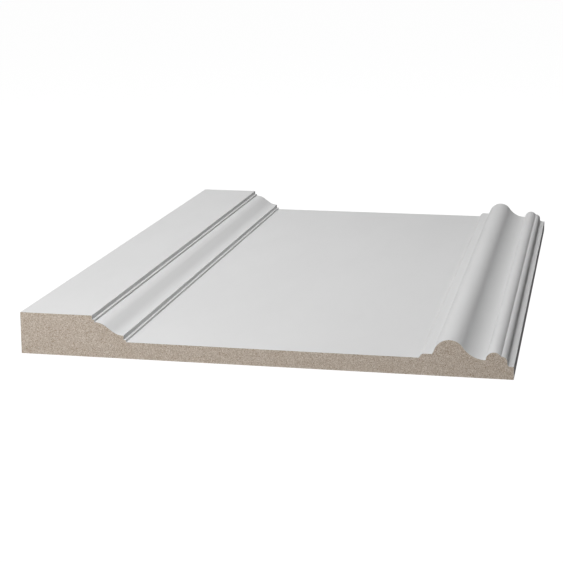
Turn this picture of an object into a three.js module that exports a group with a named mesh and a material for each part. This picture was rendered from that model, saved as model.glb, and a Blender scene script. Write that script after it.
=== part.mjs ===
// A short length of tall painted fibreboard skirting, cut square at both ends.
// All sizes are in millimetres. The board lies on its flat back, as when it is carried or stored:
// x runs up the board's height, from its bottom edge at -x to its top edge at +x,
// y runs along the wall, and z comes out of the moulded face.
import * as THREE from 'three';

// The whole board
const boardHeight = 254;
const boardThickness = 22;
const pieceLength = 390;

// The flat plinth along the bottom edge, and the field, the flat stretch above it
const plinthHeight = 38.8;
const fieldThickness = 8.8;

// The two-step fillet on both sides of the ogee: a drop, a narrow ledge and a lesser fall
const stepDrop = 2.2;
const stepLedge = 1.3;
const stepFall = 1.2;

// The ogee has a straight stretch at its middle, this many times as steep as the ogee as a whole.
// At 2 the two arcs meet and the stretch is gone.
const ogeeWidth = 15.4;
const ogeeSteepness = 1.64;

// The raised band at the top of the field, with one rounded arris, and the torus beside it.
// Each has a round that leaves off some degrees above level for a straight flank down to its foot.
const bandRise = 2.25;
const bandFlankDegrees = 30;
const bandWidth = 6.45;
const torusRadius = 7.9;
const torusProjection = 9.8;
const torusFlankDegrees = 24;

// The cavetto that sweeps from the torus to a level valley, and the bead behind the valley
const cavettoRadius = 13.8;
const valleyRise = 0.5;
const beadRadius = 4.1;

// The thumb on the bead's far side, and the thin ledge along the top edge
const thumbDrop = 1.9;
const thumbReach = 2.45;
const thumbRadius = 2.7;
const footCoveRadius = 1.3;
const ledgeWidth = 3.3;
const edgeThickness = 6.6;

// Every round stretch is cut into facets of about this angle
const facetDegrees = 4;
const fewestFacets = 4;

const degrees = THREE.MathUtils.radToDeg;
const radians = THREE.MathUtils.degToRad;

// Points nearer to each other than this are one point.
const samePoint = 0.001;

// The outline is a list of points. Here x is measured from the bottom edge and z from the back.
function addPoint(outline, x, z) {
  const point = new THREE.Vector2(x, z);
  const last = outline.at(-1);
  if (last === undefined || last.distanceTo(point) > samePoint) {
    outline.push(point);
  }
}

// Adds an arc, clockwise where the degrees fall.
function addArc(outline, centreX, centreZ, radius, fromDegrees, toDegrees) {
  const turn = toDegrees - fromDegrees;
  const facets = Math.max(fewestFacets, Math.ceil(Math.abs(turn) / facetDegrees));
  const start = radians(fromDegrees);
  const end = radians(toDegrees);
  const arc = new THREE.EllipseCurve(centreX, centreZ, radius, radius, start, end, turn < 0);
  for (const point of arc.getPoints(facets)) {
    addPoint(outline, point.x, point.y);
  }
}

// Steps down from x, z, where the outline already is, and returns the foot of the lesser fall.
function addSteps(outline, x, z) {
  const ledgeZ = z - stepDrop;
  const foot = { x: x + stepLedge, z: ledgeZ - stepFall };
  addPoint(outline, x, ledgeZ);
  addPoint(outline, foot.x, ledgeZ);
  addPoint(outline, foot.x, foot.z);
  return foot;
}

// Two equal arcs, the first one swelling and the second one hollow, level at both ends and with
// a straight stretch between them. Returns the ogee's foot.
function addOgee(outline, x, z, fall) {
  const slope = ogeeSteepness * Math.atan2(fall, ogeeWidth);
  const overlap = ogeeWidth * Math.sin(slope) - fall * Math.cos(slope);
  const radius = overlap / (2 - 2 * Math.cos(slope));
  const slopeDegrees = degrees(slope);
  addArc(outline, x, z - radius, radius, 90, 90 - slopeDegrees);
  addArc(outline, x + ogeeWidth, z - fall + radius, radius, 270 - slopeDegrees, 270);
  return { x: x + ogeeWidth, z: z - fall };
}

// The plinth's face, the first steps, the ogee and the second steps, down to the field.
function addPlinthMoulding(outline) {
  addPoint(outline, 0, boardThickness);
  addPoint(outline, plinthHeight, boardThickness);
  const ogeeTop = addSteps(outline, plinthHeight, boardThickness);
  const ogeeFall = ogeeTop.z - (fieldThickness + stepDrop + stepFall);
  const ogeeFoot = addOgee(outline, ogeeTop.x, ogeeTop.z, ogeeFall);
  addSteps(outline, ogeeFoot.x, ogeeFoot.z);
}

// The band, torus, cavetto, bead, thumb and ledge are set out from the top edge inwards.
function crownPlaces() {
  const thumbSide = boardHeight - ledgeWidth;
  const valleyZ = fieldThickness + valleyRise;
  const beadX = thumbSide - thumbReach - beadRadius;
  const thumbTop = valleyZ + beadRadius - thumbDrop;
  const beadEndDegrees = degrees(Math.asin((thumbTop - valleyZ) / beadRadius));
  const beadEndX = beadX + beadRadius * Math.cos(radians(beadEndDegrees));

  const cavettoX = beadX - beadRadius;
  const cavettoZ = valleyZ + cavettoRadius;
  const torusZ = fieldThickness + torusProjection - torusRadius;
  const centreRise = cavettoZ - torusZ;
  const centreReach = Math.sqrt((torusRadius + cavettoRadius) ** 2 - centreRise ** 2);
  const torusX = cavettoX - centreReach;
  const meetDegrees = degrees(Math.atan2(centreRise, centreReach));

  const bandZ = fieldThickness + bandRise;
  const flank = radians(torusFlankDegrees);
  const flankRise = torusRadius * Math.sin(flank) - (bandZ - torusZ);
  const torusFootX = torusX - torusRadius * Math.cos(flank) - flankRise * Math.tan(flank);
  const bandFootX = torusFootX - bandWidth;
  const bandRoundX = bandFootX + bandRise / Math.cos(radians(bandFlankDegrees));

  // The thumb's round and its foot's cove are limited by the wall that they share.
  const thumbWall = thumbTop - edgeThickness;
  const thumbRound = Math.min(thumbRadius, thumbSide - beadEndX, thumbWall);
  const footCove = Math.min(footCoveRadius, thumbWall - thumbRound, ledgeWidth);
  return {
    thumbSide, valleyZ, beadX, thumbTop, beadEndDegrees, cavettoX, cavettoZ, torusX, torusZ,
    meetDegrees, bandZ, torusFootX, bandFootX, bandRoundX, thumbRound, footCove,
  };
}

function addCrownMoulding(outline) {
  const at = crownPlaces();
  addPoint(outline, at.bandFootX, fieldThickness);
  addArc(outline, at.bandRoundX, fieldThickness, bandRise, 180 - bandFlankDegrees, 90);
  addPoint(outline, at.torusFootX, at.bandZ);
  addArc(outline, at.torusX, at.torusZ, torusRadius, 180 - torusFlankDegrees, at.meetDegrees);
  addArc(outline, at.cavettoX, at.cavettoZ, cavettoRadius, 180 + at.meetDegrees, 270);
  addArc(outline, at.beadX, at.valleyZ, beadRadius, 180, at.beadEndDegrees);
  addPoint(outline, at.thumbSide - at.thumbRound, at.thumbTop);
  addArc(outline, at.thumbSide - at.thumbRound, at.thumbTop - at.thumbRound, at.thumbRound, 90, 0);
  addPoint(outline, at.thumbSide, edgeThickness + at.footCove);
  addArc(outline, at.thumbSide + at.footCove, edgeThickness + at.footCove, at.footCove, 180, 270);
  addPoint(outline, boardHeight, edgeThickness);
}

// The whole section, from the back's bottom corner over the face to the back's top corner.
function sectionOutline() {
  const outline = [];
  addPoint(outline, 0, 0);
  addPlinthMoulding(outline);
  addCrownMoulding(outline);
  addPoint(outline, boardHeight, 0);
  return outline;
}

// The section runs unchanged along the board, and its middle is set over the origin.
function skirtingBoard() {
  const section = new THREE.Shape(sectionOutline());
  const run = new THREE.ExtrudeGeometry(section, { depth: pieceLength, bevelEnabled: false });
  const primer = new THREE.MeshStandardMaterial({ color: 0xd3d3d3, roughness: 0.62, metalness: 0 });
  const board = new THREE.Mesh(run, primer);
  board.name = 'skirting_board';
  board.rotation.x = Math.PI / 2;
  board.position.set(-boardHeight / 2, pieceLength / 2, 0);
  return board;
}

const model = new THREE.Group();
model.add(skirtingBoard());

export default model;
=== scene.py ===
import math

import bpy
from mathutils import Matrix, Vector, geometry, kdtree, noise


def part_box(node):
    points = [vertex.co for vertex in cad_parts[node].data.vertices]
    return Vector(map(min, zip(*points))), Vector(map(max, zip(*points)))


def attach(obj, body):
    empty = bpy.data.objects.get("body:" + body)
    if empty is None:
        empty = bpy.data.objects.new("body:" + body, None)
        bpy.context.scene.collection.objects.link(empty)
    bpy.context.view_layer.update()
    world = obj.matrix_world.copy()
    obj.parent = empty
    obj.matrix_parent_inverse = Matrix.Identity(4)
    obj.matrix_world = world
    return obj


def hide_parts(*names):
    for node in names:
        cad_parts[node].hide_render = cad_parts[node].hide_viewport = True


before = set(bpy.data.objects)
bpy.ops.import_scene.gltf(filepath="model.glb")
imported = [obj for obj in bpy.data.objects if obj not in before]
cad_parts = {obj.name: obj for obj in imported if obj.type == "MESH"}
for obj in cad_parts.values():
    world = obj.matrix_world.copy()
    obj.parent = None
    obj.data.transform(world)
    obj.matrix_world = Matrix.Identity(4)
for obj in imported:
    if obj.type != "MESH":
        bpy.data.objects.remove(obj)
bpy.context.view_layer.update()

mm = 0.001
low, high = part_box("skirting_board")
boardHeight = (high[0] - low[0]) / mm  # up the wall, along x
boardLength = (high[1] - low[1]) / mm  # along the wall, along y
boardThickness = (high[2] - low[2]) / mm
print("frame loaded: board %.0f x %.0f x %.0f mm" % (boardHeight, boardLength, boardThickness))


# The section's outline runs from the bottom edge, over the moulded face, to the top edge.
# Its sizes are in millimetres, with x from the bottom edge and z from the back.
section = {
    "plinthHeight": 38.8,
    "fieldThickness": 8.8,
    "stepDrop": 2.2,
    "stepLedge": 1.3,
    "stepFall": 1.2,
    "ogeeWidth": 15.4,
    "ogeeSteepness": 1.64,  # its middle's slope against its overall slope, where 2 leaves no straight
    "bandRise": 2.25,
    "bandFlank": 30,  # degrees up from level, where the band's round leaves off for a straight foot
    "bandWidth": 6.45,
    "torusRadius": 7.9,
    "torusProjection": 9.8,
    "torusFlank": 24,  # degrees, in the same way
    "cavettoRadius": 13.8,
    "valleyRise": 0.5,
    "beadRadius": 4.1,
    "thumbDrop": 1.9,
    "thumbReach": 2.45,
    "thumbRadius": 2.7,
    "footCoveRadius": 1.3,
    "ledgeWidth": 3.3,
    "edgeThickness": 6.6,
    "facetLength": 0.34,  # along the round stretches
    "fewestFacets": 4,
    "flatStep": 0.62,  # along the flat stretches
    "samePoint": 0.01,
}


def arcPoints(centreX, centreZ, radius, fromDegrees, toDegrees):
    turn = math.radians(toDegrees - fromDegrees)
    facets = max(section["fewestFacets"], math.ceil(abs(turn) * radius / section["facetLength"]))
    angles = [math.radians(fromDegrees) + turn * i / facets for i in range(facets + 1)]
    return [(centreX + radius * math.cos(a), centreZ + radius * math.sin(a)) for a in angles]


def stepPoints(x, z):  # a drop, a narrow ledge and a lesser fall
    ledgeZ = z - section["stepDrop"]
    footX = x + section["stepLedge"]
    return [(x, z), (x, ledgeZ), (footX, ledgeZ), (footX, ledgeZ - section["stepFall"])]


def ogeePoints(x, z, fall):  # two equal arcs, level at both ends, and a straight stretch between them
    width = section["ogeeWidth"]
    slope = section["ogeeSteepness"] * math.atan2(fall, width)
    radius = (width * math.sin(slope) - fall * math.cos(slope)) / (2 - 2 * math.cos(slope))
    swell = arcPoints(x, z - radius, radius, 90, 90 - math.degrees(slope))
    hollow = arcPoints(x + width, z - fall + radius, radius, 270 - math.degrees(slope), 270)
    return swell + hollow


def plinthMoulding():
    upper = stepPoints(section["plinthHeight"], boardThickness)
    ogeeX, ogeeZ = upper[-1]
    footZ = section["fieldThickness"] + section["stepDrop"] + section["stepFall"]
    ogee = ogeePoints(ogeeX, ogeeZ, ogeeZ - footZ)
    return [(0, boardThickness)] + upper + ogee + stepPoints(ogeeX + section["ogeeWidth"], footZ)


def crownMoulding():  # set out from the top edge inwards
    field, edge = section["fieldThickness"], section["edgeThickness"]
    torus, cavetto, bead = section["torusRadius"], section["cavettoRadius"], section["beadRadius"]
    thumbSide = boardHeight - section["ledgeWidth"]
    valleyZ = field + section["valleyRise"]
    beadX = thumbSide - section["thumbReach"] - bead
    thumbTop = valleyZ + bead - section["thumbDrop"]
    beadEnd = math.degrees(math.asin((thumbTop - valleyZ) / bead))

    cavettoX = beadX - bead
    cavettoZ = valleyZ + cavetto
    torusZ = field + section["torusProjection"] - torus
    centreRise = cavettoZ - torusZ
    centreReach = math.sqrt((torus + cavetto) ** 2 - centreRise ** 2)
    torusX = cavettoX - centreReach
    meeting = math.degrees(math.atan2(centreRise, centreReach))

    rise = section["bandRise"]
    bandFlank, torusFlank = section["bandFlank"], section["torusFlank"]
    slant = math.radians(torusFlank)
    flankRise = torus * math.sin(slant) - (field + rise - torusZ)
    torusFoot = torusX - torus * math.cos(slant) - flankRise * math.tan(slant)
    bandFoot = torusFoot - section["bandWidth"]
    roundX = bandFoot + rise / math.cos(math.radians(bandFlank))

    thumb = min(section["thumbRadius"], thumbTop - edge)
    cove = min(section["footCoveRadius"], thumbTop - edge - thumb)
    return (
        [(bandFoot, field)]
        + arcPoints(roundX, field, rise, 180 - bandFlank, 90)
        + [(torusFoot, field + rise)]
        + arcPoints(torusX, torusZ, torus, 180 - torusFlank, meeting)
        + arcPoints(cavettoX, cavettoZ, cavetto, 180 + meeting, 270)
        + arcPoints(beadX, valleyZ, bead, 180, beadEnd)
        + arcPoints(thumbSide - thumb, thumbTop - thumb, thumb, 90, 0)
        + arcPoints(thumbSide + cove, edge + cove, cove, 180, 270)
        + [(boardHeight, edge)]
    )


def withoutTwins(points):
    kept = [points[0]]
    for point in points[1:]:
        if (Vector(point) - Vector(kept[-1])).length > section["samePoint"]:
            kept.append(point)
    return kept


coat = {
    "thickness": 0.06,
    "softArris": 0.16,  # how far the primer rounds a sharp arris
    "softCorner": 0.13,  # and fills an inner corner
    "sideShare": 0.9,  # the most of a side that a rounded corner takes
    "curveTurn": 20,  # degrees, where a lesser turn belongs to a curve
    "cornerFacets": 4,
    "fieldWork": 0.3,  # how hard the cutter worked the field, against the mouldings
    "cutBevel": 0.02,  # how far the saw takes the coat back
    "chipDepth": 0.035,  # and where it chips it
    "chipLength": 1.6,
    "chipDetail": (2.7, 0.5),  # how much finer the lesser chips are, and how much of them is added
    "chipLevel": 0.2,  # a higher one leaves fewer chips
    "chipSharpness": 2,
    "chipLimit": 0.8,  # the most of the film that a chip takes
    "endPlace": 40,  # each cut takes its chips from the noise this far out
    "rows": 24,
    "firstRow": 3,  # from the cut
}


def movedIn(before, corner, after):  # the sharp fibreboard under the coat
    arriving = (corner - before).normalized()
    leaving = (after - corner).normalized()
    sideways = Vector((arriving.y + leaving.y, -arriving.x - leaving.x)).normalized()
    return corner + sideways * coat["thickness"] / sideways.dot(Vector((arriving.y, -arriving.x)))


def coatedSection(points):  # each point of the coat's outside, with the one under it: x, z, x, z
    thickness = coat["thickness"]
    pairs = [Vector((*points[0], points[0][0] + thickness, 0))]
    for before, corner, after in zip(points, points[1:], points[2:]):
        before, corner, after = Vector(before), Vector(corner), Vector(after)
        under = movedIn(before, corner, after)
        arriving, leaving = corner - before, after - corner
        turn = arriving.angle_signed(leaving)
        if abs(math.degrees(turn)) < coat["curveTurn"]:
            pairs.append(Vector((*corner, *under)))
            continue
        reach = coat["softArris"] if turn > 0 else coat["softCorner"]
        longest = coat["sideShare"] * min(arriving.length, leaving.length)
        reach = min(reach * math.tan(abs(turn) / 2), longest)
        start = corner - arriving.normalized() * reach
        end = corner + leaving.normalized() * reach
        for i in range(coat["cornerFacets"] + 1):
            t = i / coat["cornerFacets"]
            rounded = start * (1 - t) ** 2 + corner * 2 * t * (1 - t) + end * t ** 2
            pairs.append(Vector((*rounded, *under)))
    return pairs + [Vector((*points[-1], points[-1][0] - thickness, 0))]


def withSteps(points, longest):
    stepped = [points[0]]
    for a, b in zip(points, points[1:]):
        count = math.ceil((b.xy - a.xy).length / longest)
        stepped += [a.lerp(b, i / count) for i in range(1, count + 1)]
    return stepped


def outwardNormals(points):
    ways = [b - a for a, b in zip(points, points[1:])]
    found = []
    for i in range(len(points)):
        arriving, leaving = ways[max(i - 1, 0)], ways[min(i, len(ways) - 1)]
        # the longer side counts for more, so that a flat stretch stays flat up to its arris
        along = arriving * arriving.length + leaving * leaving.length
        along.normalize()
        found.append((-along.y, along.x))
    return found


sharpOutline = withoutTwins([(0, 0)] + plinthMoulding() + crownMoulding() + [(boardHeight, 0)])
coated = withSteps(coatedSection(sharpOutline), section["flatStep"])
outside = [pair.xy for pair in coated]
normals = outwardNormals(outside)
inside = withoutTwins([(pair.z, pair.w) for pair in coated])
print("section set out: %d points outside the coat, %d inside" % (len(outside), len(inside)))


# Meshes
def toFrame(x, y, z):  # from the section's millimetres to metres, with y from the board's middle
    return (low[0] + x * mm, (low[1] + high[1]) / 2 + y * mm, low[2] + z * mm)


def addPiece(name, mesh):
    piece = bpy.data.objects.new(name, mesh)
    bpy.context.scene.collection.objects.link(piece)
    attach(piece, "root")
    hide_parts("skirting_board")
    return piece


def insideIndexes():  # which inside point lies under each outside point
    indexes = [0]
    for a, b in zip(coated, coated[1:]):
        moved = math.dist((a.z, a.w), (b.z, b.w)) > section["samePoint"]
        indexes.append(indexes[-1] + moved)
    return indexes


def milledShares():  # how hard the cutter worked the face: not on the plinth, and most on a moulding
    fieldStart, fieldEnd = plinthMoulding()[-1][0], crownMoulding()[0][0]
    topArris = boardHeight - coat["softArris"]
    shares = []
    for point in outside:
        if fieldStart <= point.x <= fieldEnd:
            shares.append(coat["fieldWork"])
        elif section["plinthHeight"] < point.x < topArris:
            shares.append(1.0)
        else:
            shares.append(0.0)
    return shares


def chipDepths(end):  # small chips out of the coat along the saw cut
    finer, finerShare = coat["chipDetail"]
    depths = []
    for x, z, underX, underZ in coated:
        place = Vector((x, z, end * coat["endPlace"])) / coat["chipLength"]
        rough = noise.noise(place) + finerShare * noise.noise(place * finer)
        chip = max(0, rough - coat["chipLevel"])
        film = math.dist((x, z), (underX, underZ))
        depth = coat["cutBevel"] + coat["chipDepth"] * min(1, coat["chipSharpness"] * chip)
        depths.append(min(depth, coat["chipLimit"] * film))
    return depths


def makeCoat():
    half = boardLength / 2
    nearest = half - coat["cutBevel"]
    inner = half - coat["firstRow"]
    places = [-half, -nearest]
    places += [-inner + 2 * inner * i / coat["rows"] for i in range(coat["rows"] + 1)]
    places += [nearest, half]
    vertices, faces, cornerNormals = [], [], []
    outerRows, innerRows = [], []
    for y in places:
        depths = chipDepths(y / half) if abs(y) == half else [0] * len(outside)
        start = len(vertices)
        for (x, z), (nx, nz), depth in zip(outside, normals, depths):
            vertices.append(toFrame(x - nx * depth, y, z - nz * depth))
        outerRows.append(list(range(start, len(vertices))))
        start = len(vertices)
        vertices += [toFrame(x, y, z) for x, z in inside]
        innerRows.append([start + i for i in insideIndexes()])

    def stitch(a, b, facing):  # one strip of faces between two rows
        for i in range(len(a) - 1):
            corners = {a[i]: facing[i], a[i + 1]: facing[i + 1]}
            corners.update({b[i + 1]: facing[i + 1], b[i]: facing[i]})
            if len(corners) > 2:
                faces.append(tuple(corners))
                cornerNormals.extend(corners.values())

    outward = [Vector((nx, 0, nz)) for nx, nz in normals]
    inward = [-side for side in outward]
    unset = [Vector((0, 0, 0))] * len(outside)  # left to Blender, on the bevel along the cut
    for r in range(len(places) - 1):
        atCut = r in (0, len(places) - 2)
        stitch(outerRows[r], outerRows[r + 1], unset if atCut else outward)
        stitch(innerRows[r + 1], innerRows[r], inward)
    down = [Vector((0, 0, -1))] * len(places)
    stitch([row[0] for row in outerRows], [row[0] for row in innerRows], down)
    stitch([row[-1] for row in innerRows], [row[-1] for row in outerRows], down)
    stitch(innerRows[0], outerRows[0], [Vector((0, -1, 0))] * len(outside))
    stitch(outerRows[-1], innerRows[-1], [Vector((0, 1, 0))] * len(outside))

    mesh = bpy.data.meshes.new("primer_coat")
    mesh.from_pydata(vertices, [], faces)
    mesh.shade_smooth()
    mesh.normals_split_custom_set(cornerNormals)
    milled = mesh.attributes.new("milled", "FLOAT", "POINT")
    milled.data.foreach_set("value", (milledShares() + [0.0] * len(inside)) * len(places))
    return addPiece("primer_coat", mesh)


core = {
    "grainStep": 0.62,  # between the points that the sawn ends are worked with
    "rimGap": 0.36,  # and from them to the rim
    "tornDepth": 0.05,  # how deep the saw tears fibres out
    "tornSize": 1.1,
    "tornLevel": 0.5,  # of the depth, with the unevenness about it
    "tornUnevenness": 0.8,
    "tornDetail": (2.1, 0.4),  # how much finer the lesser tears are, and how uneven
    "endPlace": 60,  # each end takes its tears from the noise this far out
    "backStep": 1.2,  # between the points along the back
    "samePoint": 0.001,
    "sharpAngle": 40,  # degrees
    "endFacing": 0.5,  # a face that looks along the board by more than this is a sawn one
}


def sawnRelief(x, z, end):  # how far the sawn surface lies in from the cut's plane
    finer, finerUnevenness = core["tornDetail"]
    place = Vector((x, z, end * core["endPlace"])) / core["tornSize"]
    torn = core["tornLevel"] + core["tornUnevenness"] * noise.noise(place)
    torn += finerUnevenness * noise.noise(place * finer)
    return core["tornDepth"] * min(1, max(0, torn))


def latticePoints(rim):  # evenly over the section's box, in staggered rows, clear of the rim
    step = core["grainStep"]
    rise = step * math.sqrt(3) / 2
    near = kdtree.KDTree(len(rim))
    for i, point in enumerate(rim):
        near.insert(point.to_3d(), i)
    near.balance()
    points = []
    for row in range(1, math.ceil(boardThickness / rise)):
        shift = 0.5 * (row % 2)
        for i in range(math.ceil(boardHeight / step)):
            point = Vector(((i + shift) * step, row * rise))
            if near.find(point.to_3d())[2] > core["rimGap"]:
                points.append(point)
    return points


def makeCore():
    half = boardLength / 2
    steps = math.ceil(boardHeight / core["backStep"])
    backStart, backEnd = Vector(inside[-1]), Vector(inside[0])
    back = [tuple(backStart.lerp(backEnd, i / steps)) for i in range(1, steps)]
    rim = [Vector(point) for point in inside + back]
    loop = [(i, (i + 1) % len(rim)) for i in range(len(rim))]
    cut = geometry.delaunay_2d_cdt(rim + latticePoints(rim), loop, [], 1, core["samePoint"])
    points, triangles, origins = cut[0], cut[2], cut[3]
    used = sorted({i for triangle in triangles for i in triangle})
    newIndex = {old: new for new, old in enumerate(used)}
    rimIndex = {}
    for old in used:
        for origin in origins[old]:
            if origin < len(rim):
                rimIndex[origin] = newIndex[old]
    rimPlaces = set(rimIndex.values())
    count = len(used)

    vertices = []
    for end in (-1, 1):
        for i, old in enumerate(used):
            x, z = points[old]
            depth = 0 if i in rimPlaces else sawnRelief(x, z, end)
            vertices.append(toFrame(x, end * (half - depth), z))
    faces = [tuple(newIndex[i] for i in triangle) for triangle in triangles]
    faces += [tuple(count + i for i in reversed(face)) for face in faces]
    for i, j in loop:
        a, b = rimIndex[i], rimIndex[j]
        faces.append((a, b, count + b, count + a))

    mesh = bpy.data.meshes.new("fibreboard")
    mesh.from_pydata(vertices, [], faces)
    mesh.shade_smooth()
    mesh.set_sharp_from_angle(angle=math.radians(core["sharpAngle"]))
    return addPiece("fibreboard", mesh)


primerCoat = makeCoat()
fibreboard = makeCore()
print("coat %d faces, board %d faces" % (len(primerCoat.data.polygons), len(fibreboard.data.polygons)))


# Nodes
def put(tree, kind, inputs=(), **settings):
    node = tree.nodes.new("ShaderNode" + kind)
    for name, value in settings.items():
        setattr(node, name, value)
    for name, value in dict(inputs).items():
        if isinstance(value, bpy.types.NodeSocket):
            tree.links.new(value, node.inputs[name])
        else:
            node.inputs[name].default_value = value
    return node


def calculate(tree, operation, first, second=0.0):
    return put(tree, "Math", {0: first, 1: second}, operation=operation).outputs[0]


def newGroup(name, inputs, outputs):
    group = bpy.data.node_groups.new(name, "ShaderNodeTree")
    for socketName, (kind, default) in inputs.items():
        socket = group.interface.new_socket(socketName, in_out="INPUT", socket_type="NodeSocket" + kind)
        if default is not None:
            socket.default_value = default
    for socketName, kind in outputs.items():
        group.interface.new_socket(socketName, in_out="OUTPUT", socket_type="NodeSocket" + kind)
    return group, group.nodes.new("NodeGroupInput").outputs, group.nodes.new("NodeGroupOutput").inputs


def useGroup(tree, group, inputs):
    return put(tree, "Group", inputs, node_tree=group).outputs


def noiseOf(tree, place, size, detail=0.0, roughness=0.5, distortion=0.0):  # gives about 0.2 to 0.8
    isSocket = isinstance(size, bpy.types.NodeSocket)
    scale = calculate(tree, "DIVIDE", 1.0, size) if isSocket else 1 / size
    inputs = {"Vector": place, "Scale": scale, "Detail": detail, "Roughness": roughness}
    return put(tree, "TexNoise", {**inputs, "Distortion": distortion}).outputs[0]


def stretched(tree, place, factors):
    return put(tree, "VectorMath", {0: place, 1: factors}, operation="MULTIPLY").outputs[0]


noiseMiddle = 0.5  # what a noise is about


def noiseVector(tree, place, size, reach):  # how far a place is pushed aside, each way
    colour = put(tree, "TexNoise", {"Vector": place, "Scale": 1 / size}).outputs["Color"]
    middle = (noiseMiddle, noiseMiddle, noiseMiddle)
    centred = put(tree, "VectorMath", {0: colour, 1: middle}, operation="SUBTRACT").outputs[0]
    return stretched(tree, centred, (reach, reach, reach))


def aboutZero(tree, value, contrast):
    return calculate(tree, "MULTIPLY", calculate(tree, "SUBTRACT", value, noiseMiddle), contrast)


def rangeOf(tree, value, fromLow, fromHigh, toLow=0.0, toHigh=1.0):
    inputs = dict(enumerate((value, fromLow, fromHigh, toLow, toHigh)))
    return put(tree, "MapRange", inputs, interpolation_type="SMOOTHSTEP").outputs[0]


def mixOf(tree, share, first, second):  # inputs 6 and 7 are the colours, and output 2 is their mix
    return put(tree, "Mix", {0: share, 6: first, 7: second}, data_type="RGBA").outputs[2]


fibreGrain = {
    "fleckNoise": (1.0, 0.6, 0.9),  # detail, roughness and distortion
    "fleckContrast": 2.45,
    "clumpDetail": 2.0,
    "clumpContrast": 0.3,
    "clumpHeight": 0.6,  # against the flecks
    "bendSize": 1.1,
    "bendReach": 0.9,  # how far the specks' outlines are pushed out of round
    "speckReach": (0.1, 0.24),  # the least and the most, as shares of their spacing
    "speckFade": 0.5,  # the share of a speck that its soft rim takes
}


def makePressedFibre():  # wood fibre pressed into board: a grain of flecks, with dark and light specks
    group, given, result = newGroup(
        "pressedFibre",
        {
            "Place": ("Vector", None),
            "Fleck Size": ("Float", 0.5),
            "Clump Size": ("Float", 2.0),
            "Speck Spacing": ("Float", 2.2),
            "Speck Share": ("Float", 0.1),
        },
        {"Tone": "Float", "Dark Speck": "Float", "Light Speck": "Float", "Height": "Float"},
    )
    fleck = noiseOf(group, given["Place"], given["Fleck Size"], *fibreGrain["fleckNoise"])
    clump = noiseOf(group, given["Place"], given["Clump Size"], fibreGrain["clumpDetail"])
    fine = aboutZero(group, fleck, fibreGrain["fleckContrast"])
    slow = aboutZero(group, clump, fibreGrain["clumpContrast"])
    tone = calculate(group, "ADD", calculate(group, "ADD", fine, slow), noiseMiddle)
    group.links.new(tone, result["Tone"])
    clumpHeight = calculate(group, "MULTIPLY", clump, fibreGrain["clumpHeight"])
    group.links.new(calculate(group, "ADD", fleck, clumpHeight), result["Height"])

    frequency = calculate(group, "DIVIDE", 1.0, given["Speck Spacing"])
    bend = noiseVector(group, given["Place"], fibreGrain["bendSize"], fibreGrain["bendReach"])
    bent = put(group, "VectorMath", {0: given["Place"], 1: bend}, operation="ADD").outputs[0]
    cells = put(group, "TexVoronoi", {"Vector": bent, "Scale": frequency}).outputs
    chance = put(group, "SeparateColor", {0: cells["Color"]}).outputs
    reach = rangeOf(group, chance["Green"], 0.0, 1.0, *fibreGrain["speckReach"])
    within = calculate(group, "SUBTRACT", 1.0, calculate(group, "DIVIDE", cells["Distance"], reach))
    speck = rangeOf(group, within, 0.0, fibreGrain["speckFade"])
    dark = calculate(group, "LESS_THAN", chance["Red"], given["Speck Share"])
    fromTop = calculate(group, "SUBTRACT", 1.0, chance["Red"])
    light = calculate(group, "LESS_THAN", fromTop, given["Speck Share"])
    group.links.new(calculate(group, "MULTIPLY", dark, speck), result["Dark Speck"])
    group.links.new(calculate(group, "MULTIPLY", light, speck), result["Light Speck"])
    return group


mistSizes = {
    "filmStretch": (0.05, 0.016, 0.05),  # long passes of the spray, along the run
    "filmNoise": (3.0, 0.55),  # detail and roughness
    "filmRange": (0.3, 0.7),
    "skinDetail": 1.5,
}


def makeSprayMist():  # the fine pebbled skin of a sprayed coat, and where its film is fuller
    group, given, result = newGroup(
        "sprayMist",
        {"Place": ("Vector", None), "Grain Size": ("Float", 0.9)},
        {"Film": "Float", "Height": "Float"},
    )
    passes = stretched(group, given["Place"], mistSizes["filmStretch"])
    film = noiseOf(group, passes, 1.0, *mistSizes["filmNoise"])
    group.links.new(rangeOf(group, film, *mistSizes["filmRange"]), result["Film"])
    skin = noiseOf(group, given["Place"], given["Grain Size"], mistSizes["skinDetail"])
    group.links.new(skin, result["Height"])
    return group


rubSizes = {
    "stretch": (0.5, 0.03, 0.5),  # long streaks, along the run
    "noise": (4.0, 0.7),  # detail and roughness
    "most": 0.85,
    "patchSize": 34.0,
    "patchDetail": 2.0,
    "patchRange": (0.46, 0.62),
}


def makeHandling():  # faint rubs and scuffs from stacking and carrying, in patches
    group, given, result = newGroup(
        "handling",
        {"Place": ("Vector", None), "Least": ("Float", 0.6)},
        {"Rub": "Float"},
    )
    streak = noiseOf(group, stretched(group, given["Place"], rubSizes["stretch"]), 1.0, *rubSizes["noise"])
    patch = noiseOf(group, given["Place"], rubSizes["patchSize"], rubSizes["patchDetail"])
    rub = rangeOf(group, streak, given["Least"], rubSizes["most"])
    patchShare = rangeOf(group, patch, *rubSizes["patchRange"])
    group.links.new(calculate(group, "MULTIPLY", rub, patchShare), result["Rub"])
    return group


pressedFibre = makePressedFibre()
sprayMist = makeSprayMist()
handling = makeHandling()


def newMaterial(name, shaderInputs):
    material = bpy.data.materials.new(name)
    material.use_nodes = True
    tree = material.node_tree
    shader = tree.nodes["Principled BSDF"]
    for inputName, value in shaderInputs.items():
        shader.inputs[inputName].default_value = value
    place = stretched(tree, put(tree, "TexCoord").outputs["Object"], (1 / mm, 1 / mm, 1 / mm))
    return material, tree, shader, place


def addBump(tree, shader, layers):  # each layer is a height and its depth in millimetres
    total = None
    for height, depth in layers:
        part = calculate(tree, "MULTIPLY", height, depth)
        total = calculate(tree, "ADD", total, part) if total else part
    bump = put(tree, "Bump", {"Height": total, "Strength": 1.0, "Distance": mm})
    tree.links.new(bump.outputs[0], shader.inputs["Normal"])


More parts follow.
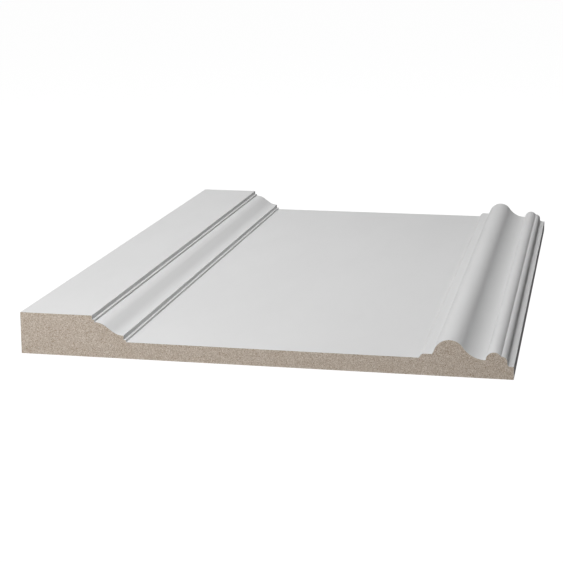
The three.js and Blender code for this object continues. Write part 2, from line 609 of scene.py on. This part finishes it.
primer = {
    "colour": (0.655, 0.655, 0.655, 1),
    "thinColour": (0.648, 0.648, 0.648, 1),  # where the film is thinner
    "gloss": 0.35,
    "refraction": 1.5,
    "roughness": 0.62,
    "filmRoughness": 0.02,  # more where the film is thin, and as much less where it is full
    "milledRoughness": 0.05,
    "rubbedPolish": 0.07,
    "rubLeast": 0.62,
    "grainSize": 1.1,
    "grainDepth": 0.003,
    "fibreSize": 0.8,
    "fibreDepth": 0.004,  # fibres raised by the cutter, under the coat
    "knifePitch": 1.7,  # between the faint waves that the cutter leaves along the run
    "knifeDepth": 0.0012,
}


def primerMaterial():
    material, tree, shader, place = newMaterial(
        "whitePrimer", {"Specular IOR Level": primer["gloss"], "IOR": primer["refraction"]}
    )
    milled = put(tree, "Attribute", attribute_name="milled").outputs["Fac"]
    mist = useGroup(tree, sprayMist, {"Place": place, "Grain Size": primer["grainSize"]})
    fibre = useGroup(tree, pressedFibre, {
        "Place": place, "Fleck Size": primer["fibreSize"], "Speck Share": 0.0,
    })
    rub = useGroup(tree, handling, {"Place": place, "Least": primer["rubLeast"]})["Rub"]

    colour = mixOf(tree, mist["Film"], primer["thinColour"], primer["colour"])
    tree.links.new(colour, shader.inputs["Base Color"])

    rougher = calculate(tree, "MULTIPLY", milled, primer["milledRoughness"])
    polished = calculate(tree, "MULTIPLY", rub, primer["rubbedPolish"])
    filmRoughness = primer["filmRoughness"]
    uneven = rangeOf(tree, mist["Film"], 0.0, 1.0, filmRoughness, -filmRoughness)
    roughness = calculate(tree, "ADD", calculate(tree, "ADD", rougher, uneven), primer["roughness"])
    tree.links.new(calculate(tree, "SUBTRACT", roughness, polished), shader.inputs["Roughness"])

    along = put(tree, "SeparateXYZ", {0: place}).outputs["Y"]
    phase = calculate(tree, "MULTIPLY", along, 2 * math.pi / primer["knifePitch"])
    knife = calculate(tree, "MULTIPLY", calculate(tree, "SINE", phase), milled)
    raised = calculate(tree, "MULTIPLY", fibre["Height"], milled)
    addBump(tree, shader, [
        (mist["Height"], primer["grainDepth"]),
        (raised, primer["fibreDepth"]),
        (knife, primer["knifeDepth"]),
    ])
    return material


sawn = {
    "dark": (0.330, 0.249, 0.180, 1),
    "middle": (0.548, 0.459, 0.374, 1),
    "light": (0.736, 0.675, 0.606, 1),
    "darkSpeck": (0.145, 0.118, 0.092, 1),
    "lightSpeck": (0.80, 0.77, 0.73, 1),
    "toneRange": (0.15, 0.85),  # where the grain is darkest and lightest, with the middle tone halfway
    "gloss": 0.3,
    "roughness": 0.9,
    "fleckSize": 0.32,
    "clumpSize": 1.8,
    "speckSpacing": 1.7,
    "speckShare": 0.2,
    "fibreDepth": 0.012,
    "bladeRadius": 150,
    "bladePitch": 1.3,  # between the faint arcs that the saw leaves
    "bladeDepth": 0.005,
}


def sawnMaterial():
    material, tree, shader, place = newMaterial(
        "sawnFibreboard", {"Roughness": sawn["roughness"], "Specular IOR Level": sawn["gloss"]}
    )
    fibre = useGroup(tree, pressedFibre, {
        "Place": place,
        "Fleck Size": sawn["fleckSize"],
        "Clump Size": sawn["clumpSize"],
        "Speck Spacing": sawn["speckSpacing"],
        "Speck Share": sawn["speckShare"],
    })
    ramp = put(tree, "ValToRGB", {"Fac": fibre["Tone"]})
    darkest, lightest = ramp.color_ramp.elements
    darkest.color = sawn["dark"]
    lightest.color = sawn["light"]
    darkest.position, lightest.position = sawn["toneRange"]
    middle = ramp.color_ramp.elements.new(sum(sawn["toneRange"]) / 2)
    middle.color = sawn["middle"]
    colour = mixOf(tree, fibre["Dark Speck"], ramp.outputs[0], sawn["darkSpeck"])
    colour = mixOf(tree, fibre["Light Speck"], colour, sawn["lightSpeck"])
    tree.links.new(colour, shader.inputs["Base Color"])

    centre = (0, 0, -sawn["bladeRadius"])
    radius = put(tree, "VectorMath", {0: place, 1: centre}, operation="DISTANCE").outputs["Value"]
    phase = calculate(tree, "MULTIPLY", radius, 2 * math.pi / sawn["bladePitch"])
    addBump(tree, shader, [
        (fibre["Height"], sawn["fibreDepth"]),
        (calculate(tree, "SINE", phase), sawn["bladeDepth"]),
    ])
    return material


back = {
    "dark": (0.33, 0.27, 0.215, 1),
    "light": (0.55, 0.475, 0.395, 1),
    "darkSpeck": (0.145, 0.118, 0.092, 1),
    "mist": (0.64, 0.637, 0.63, 1),
    "gloss": 0.35,
    "roughness": 0.8,
    "grainStretch": (1.0, 0.45, 1.0),
    "fleckSize": 0.6,
    "clumpSize": 4.0,
    "speckShare": 0.05,
    "speckStrength": 0.7,
    "toneRange": (-0.7, 1.5),  # wide, so that the sanded grain is faint
    "rubLeast": 0.48,
    "rubStrength": 0.25,
    "mistReach": 9.0,  # about how far the overspray comes in from a long edge
    "raggedStretch": (0.12, 0.05, 0.12),
    "raggedNoise": (4.0, 0.7),  # detail and roughness
    "dotSize": 0.35,
    "dotRange": (0.55, 0.95),
    "fibreDepth": 0.01,
    "scratchStretch": (4.0, 0.02, 4.0),
    "scratchDetail": 2.0,
    "scratchDepth": 0.004,
}


def backMaterial():
    material, tree, shader, place = newMaterial(
        "sandedFibreboard", {"Roughness": back["roughness"], "Specular IOR Level": back["gloss"]}
    )
    fibre = useGroup(tree, pressedFibre, {
        "Place": stretched(tree, place, back["grainStretch"]),
        "Fleck Size": back["fleckSize"],
        "Clump Size": back["clumpSize"],
        "Speck Share": back["speckShare"],
    })
    board = mixOf(tree, rangeOf(tree, fibre["Tone"], *back["toneRange"]), back["dark"], back["light"])
    speck = calculate(tree, "MULTIPLY", fibre["Dark Speck"], back["speckStrength"])
    board = mixOf(tree, speck, board, back["darkSpeck"])
    rub = useGroup(tree, handling, {"Place": place, "Least": back["rubLeast"]})["Rub"]
    board = mixOf(tree, calculate(tree, "MULTIPLY", rub, back["rubStrength"]), board, back["light"])

    across = put(tree, "SeparateXYZ", {0: place}).outputs["X"]
    toEdge = calculate(tree, "SUBTRACT", boardHeight / 2, calculate(tree, "ABSOLUTE", across))
    ragged = noiseOf(tree, stretched(tree, place, back["raggedStretch"]), 1.0, *back["raggedNoise"])
    reach = calculate(tree, "MULTIPLY", ragged, back["mistReach"] / noiseMiddle)
    fade = calculate(tree, "SUBTRACT", 1.0, calculate(tree, "DIVIDE", toEdge, reach))
    mist = useGroup(tree, sprayMist, {"Place": place, "Grain Size": back["dotSize"]})
    dots = rangeOf(tree, calculate(tree, "ADD", mist["Height"], fade), *back["dotRange"])
    tree.links.new(mixOf(tree, dots, board, back["mist"]), shader.inputs["Base Color"])

    scratch = noiseOf(tree, stretched(tree, place, back["scratchStretch"]), 1.0, back["scratchDetail"])
    addBump(tree, shader, [(fibre["Height"], back["fibreDepth"]), (scratch, back["scratchDepth"])])
    return material


primerCoat.data.materials.append(primerMaterial())
fibreboard.data.materials.append(sawnMaterial())
fibreboard.data.materials.append(backMaterial())
for face in fibreboard.data.polygons:
    face.material_index = 0 if abs(face.normal.y) > core["endFacing"] else 1
print("materials made")


# The floor takes faint shadows. The light that it would throw back comes from the room, up through it.
floor = {"reach": 6000, "colour": (0.08, 0.08, 0.08, 1), "glow": 0.985}


def makeFloor():
    mesh = bpy.data.meshes.new("floor")
    reach = floor["reach"] * mm
    corners = [(-reach, -reach), (reach, -reach), (reach, reach), (-reach, reach)]
    mesh.from_pydata([(x, y, low[2]) for x, y in corners], [], [(0, 1, 2, 3)])
    ground = bpy.data.objects.new("floor", mesh)
    bpy.context.scene.collection.objects.link(ground)
    ground.visible_diffuse = False
    ground.visible_glossy = False
    ground.visible_shadow = False
    made = newMaterial("paleFloor", {
        "Base Color": floor["colour"],
        "Roughness": 1.0,
        "Specular IOR Level": 0.0,
        "Emission Color": (1, 1, 1, 1),
        "Emission Strength": floor["glow"],
    })
    mesh.materials.append(made[0])


# Soft studio light: round softboxes, each looking at a point of the floor under the board.
# Places, aims and widths are in the frame's millimetres, and powers in watts.
softboxes = {
    "overhead": {"place": (0, 0, 1300), "aim": (0, 0), "width": 600, "power": 8.5},
    "nearRight": {"place": (405, -1510, 345), "aim": (0, 0), "width": 800, "power": 7.0},
    "nearLow": {"place": (-380, -810, 105), "aim": (0, 0), "width": 400, "power": 1.54},
    "nearEnd": {"place": (-150, -380, 220), "aim": (-120, -190), "width": 150, "power": 0.29},
    "farLeft": {"place": (-210, 790, 390), "aim": (0, 0), "width": 600, "power": 1.28},
    "aboveLeft": {"place": (-250, -100, 450), "aim": (-100, -100), "width": 300, "power": 0.38},
    "above": {"place": (-100, 50, 600), "aim": (-100, 50), "width": 300, "power": 0.63},
}
# The light that the pale floor throws back up, mostly at the upright faces on the left and behind.
room = {
    "seen": (1, 1, 1, 1),  # where the camera looks past the floor
    "bounce": 0.03,  # from straight below
    "lean": (-0.9, 0.6, -0.3),  # points to where it is fullest, and is as long as it is strong
}


def makeLights():
    for name, box in softboxes.items():
        data = bpy.data.lights.new(name, "AREA")
        data.shape = "DISK"
        data.size = box["width"] * mm
        data.energy = box["power"]
        light = bpy.data.objects.new(name, data)
        bpy.context.scene.collection.objects.link(light)
        light.visible_camera = False
        light.location = Vector(box["place"]) * mm
        aim = Vector((*box["aim"], 0)) * mm
        light.rotation_euler = (aim - light.location).to_track_quat("-Z", "Y").to_euler()


def makeRoom():
    world = bpy.data.worlds.new("studio")
    bpy.context.scene.world = world
    world.use_nodes = True
    tree = world.node_tree
    background = tree.nodes["Background"]
    background.inputs["Color"].default_value = room["seen"]
    way = put(tree, "TexCoord").outputs["Generated"]
    falling = calculate(tree, "MULTIPLY", put(tree, "SeparateXYZ", {0: way}).outputs["Z"], -1.0)
    lean = put(tree, "VectorMath", {0: way, 1: room["lean"]}, operation="DOT_PRODUCT").outputs["Value"]
    fromBelow = calculate(tree, "GREATER_THAN", falling, 0.0)
    leaning = calculate(tree, "MULTIPLY", calculate(tree, "MAXIMUM", lean, 0.0), fromBelow)
    bounce = calculate(tree, "MULTIPLY", calculate(tree, "MAXIMUM", falling, 0.0), room["bounce"])
    seen = put(tree, "LightPath").outputs["Is Camera Ray"]
    strength = calculate(tree, "MAXIMUM", seen, calculate(tree, "ADD", bounce, leaning))
    tree.links.new(strength, background.inputs["Strength"])


makeFloor()
makeLights()
makeRoom()
print("floor and lights placed")


# The camera stands at the photograph's viewing angle. Its place is in millimetres in the frame.
cameraSizes = {
    "lens": 99.85,
    "sensor": 36,
    "place": (161.94, -936.78, 217.83),
    "heading": -11.491,  # degrees from +y towards +x
    "dip": 12.911,
    "roll": -0.078,
    "nearest": 10,
    "farthest": 100000,
}


def makeCamera():
    data = bpy.data.cameras.new("camera")
    data.lens = cameraSizes["lens"]
    data.sensor_width = cameraSizes["sensor"]
    data.clip_start = cameraSizes["nearest"] * mm
    data.clip_end = cameraSizes["farthest"] * mm
    camera = bpy.data.objects.new("camera", data)
    bpy.context.scene.collection.objects.link(camera)
    turn = Matrix.Rotation(math.radians(-cameraSizes["heading"]), 4, "Z")
    tilt = Matrix.Rotation(math.radians(90 - cameraSizes["dip"]), 4, "X")
    roll = Matrix.Rotation(math.radians(cameraSizes["roll"]), 4, "Z")
    camera.matrix_world = Matrix.Translation(Vector(cameraSizes["place"]) * mm) @ turn @ tilt @ roll
    bpy.context.scene.camera = camera


makeCamera()
bpy.context.scene.view_settings.view_transform = "Standard"
